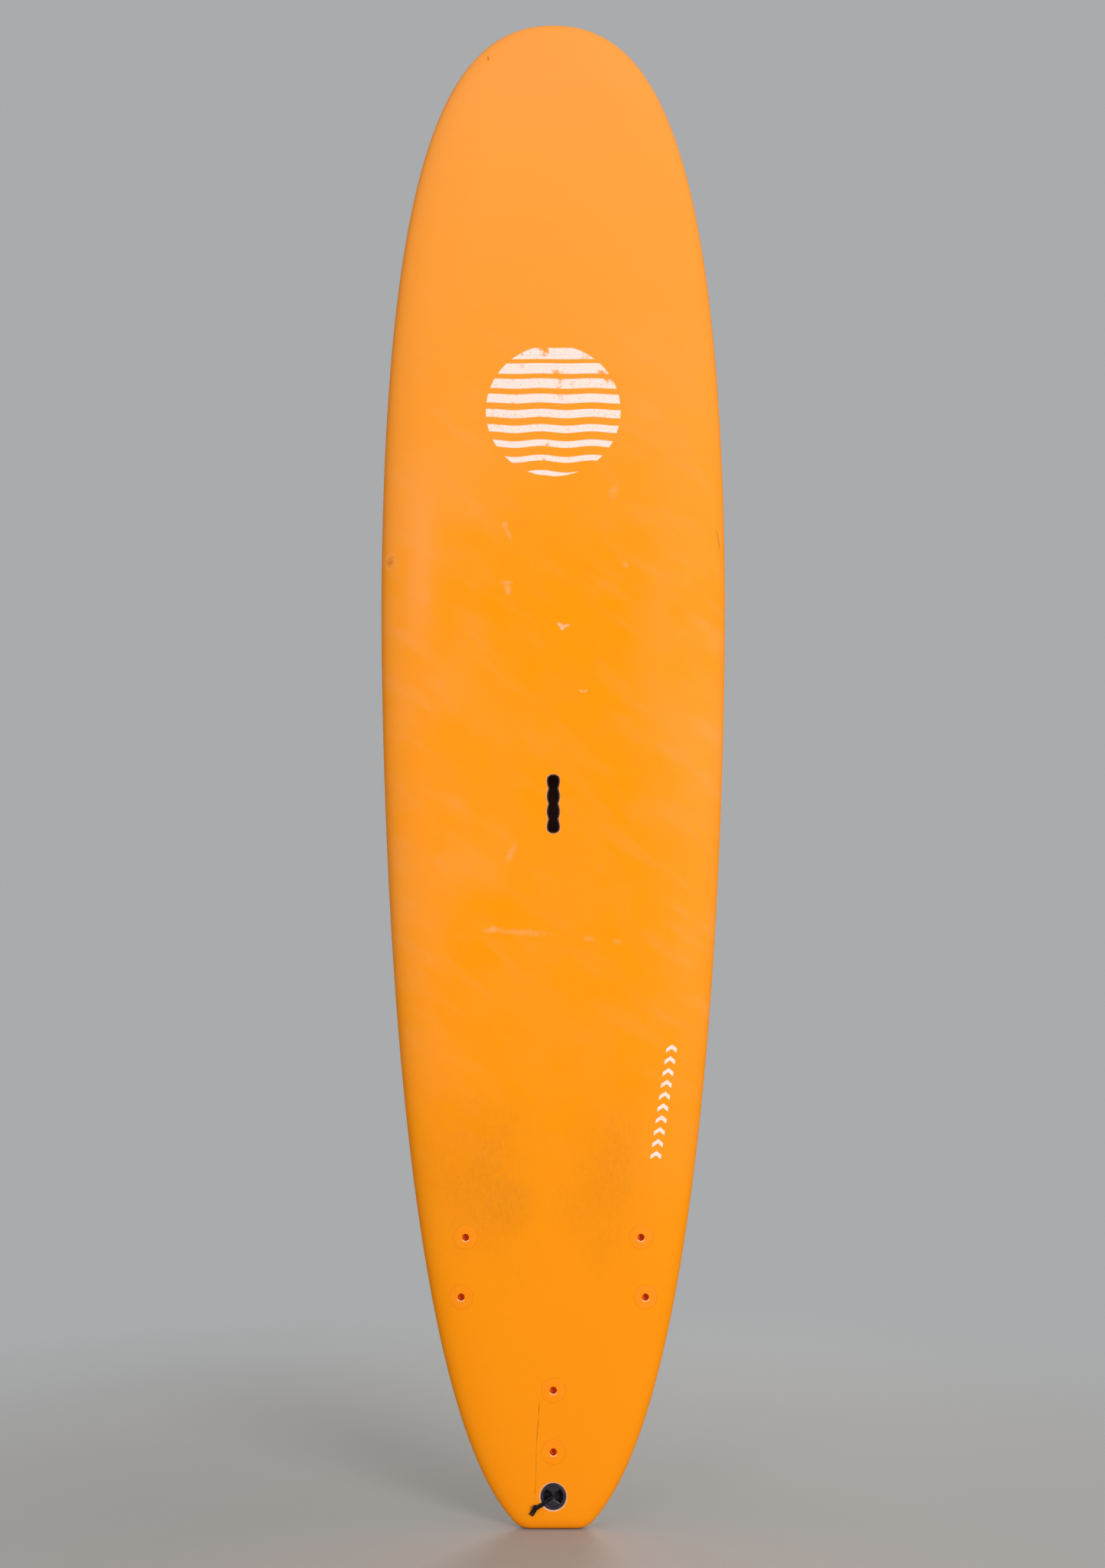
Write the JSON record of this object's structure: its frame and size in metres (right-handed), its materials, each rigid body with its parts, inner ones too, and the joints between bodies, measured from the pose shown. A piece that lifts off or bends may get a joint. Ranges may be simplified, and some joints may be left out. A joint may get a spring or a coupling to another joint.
{
  "type": "surfboard",
  "caption": "Foam-decked surfboard with a round nose, narrow squared tail, fins bolted from the deck, a finger-grip carry slot and a leash plug with its string loop.",
  "frame": {"origin": "middle of the flat end of the tail, on the surface that the board stands on", "axes": "+Z from the tail to the nose, -Y out of the deck, +X to the right of someone who looks at the deck"},
  "size_m": [0.57, 0.2207, 2.438],
  "materials": {
    "deck_foam": "fine-pebbled closed-cell foam skin, satin",
    "slick_bottom": "smooth slick sheet",
    "bead_core": "moulded bead foam",
    "stringer_ply": "raw plywood",
    "handle_plastic": "moulded, matte",
    "fin_plastic": "moulded nylon, satin",
    "plug_plastic": "moulded, satin",
    "ferrule_plastic": "moulded, satin",
    "screw_steel": "dull",
    "insert_brass": "turned",
    "leash_plastic": "moulded, satin",
    "cord_fibre": "braided cord"
  },
  "bodies": {
    "board": {"deck_skin": "deck_foam", "bottom_skin": "slick_bottom", "core_left": "bead_core", "core_centre": "bead_core", "core_right": "bead_core", "stringer_left": "stringer_ply", "stringer_right": "stringer_ply", "handle_cup": "handle_plastic", "left_fin": "fin_plastic", "centre_fin": "fin_plastic", "right_fin": "fin_plastic", "leash_plug": "leash_plastic", "leash_bar": "leash_plastic", "leash_plug_nut": "leash_plastic", "fin_plug_left_front": "plug_plastic", "fin_ferrule_left_front": "ferrule_plastic", "fin_screw_left_front": "screw_steel", "fin_insert_left_front": "insert_brass", "fin_plug_left_rear": "plug_plastic", "fin_ferrule_left_rear": "ferrule_plastic", "fin_screw_left_rear": "screw_steel", "fin_insert_left_rear": "insert_brass", "fin_plug_centre_front": "plug_plastic", "fin_ferrule_centre_front": "ferrule_plastic", "fin_screw_centre_front": "screw_steel", "fin_insert_centre_front": "insert_brass", "fin_plug_centre_rear": "plug_plastic", "fin_ferrule_centre_rear": "ferrule_plastic", "fin_screw_centre_rear": "screw_steel", "fin_insert_centre_rear": "insert_brass", "fin_plug_right_front": "plug_plastic", "fin_ferrule_right_front": "ferrule_plastic", "fin_screw_right_front": "screw_steel", "fin_insert_right_front": "insert_brass", "fin_plug_right_rear": "plug_plastic", "fin_ferrule_right_rear": "ferrule_plastic", "fin_screw_right_rear": "screw_steel", "fin_insert_right_rear": "insert_brass"},
    "leash_loop": {"leash_string": "cord_fibre", "leash_knot": "cord_fibre"}
  },
  "joints": [
    {"name": "leash_swing", "type": "hinge", "parent": "board", "child": "leash_loop", "pos_m": [0, -0.01475, 0.05], "axis": [0, 0, 1], "range_deg": [0, 120]}
  ]
}
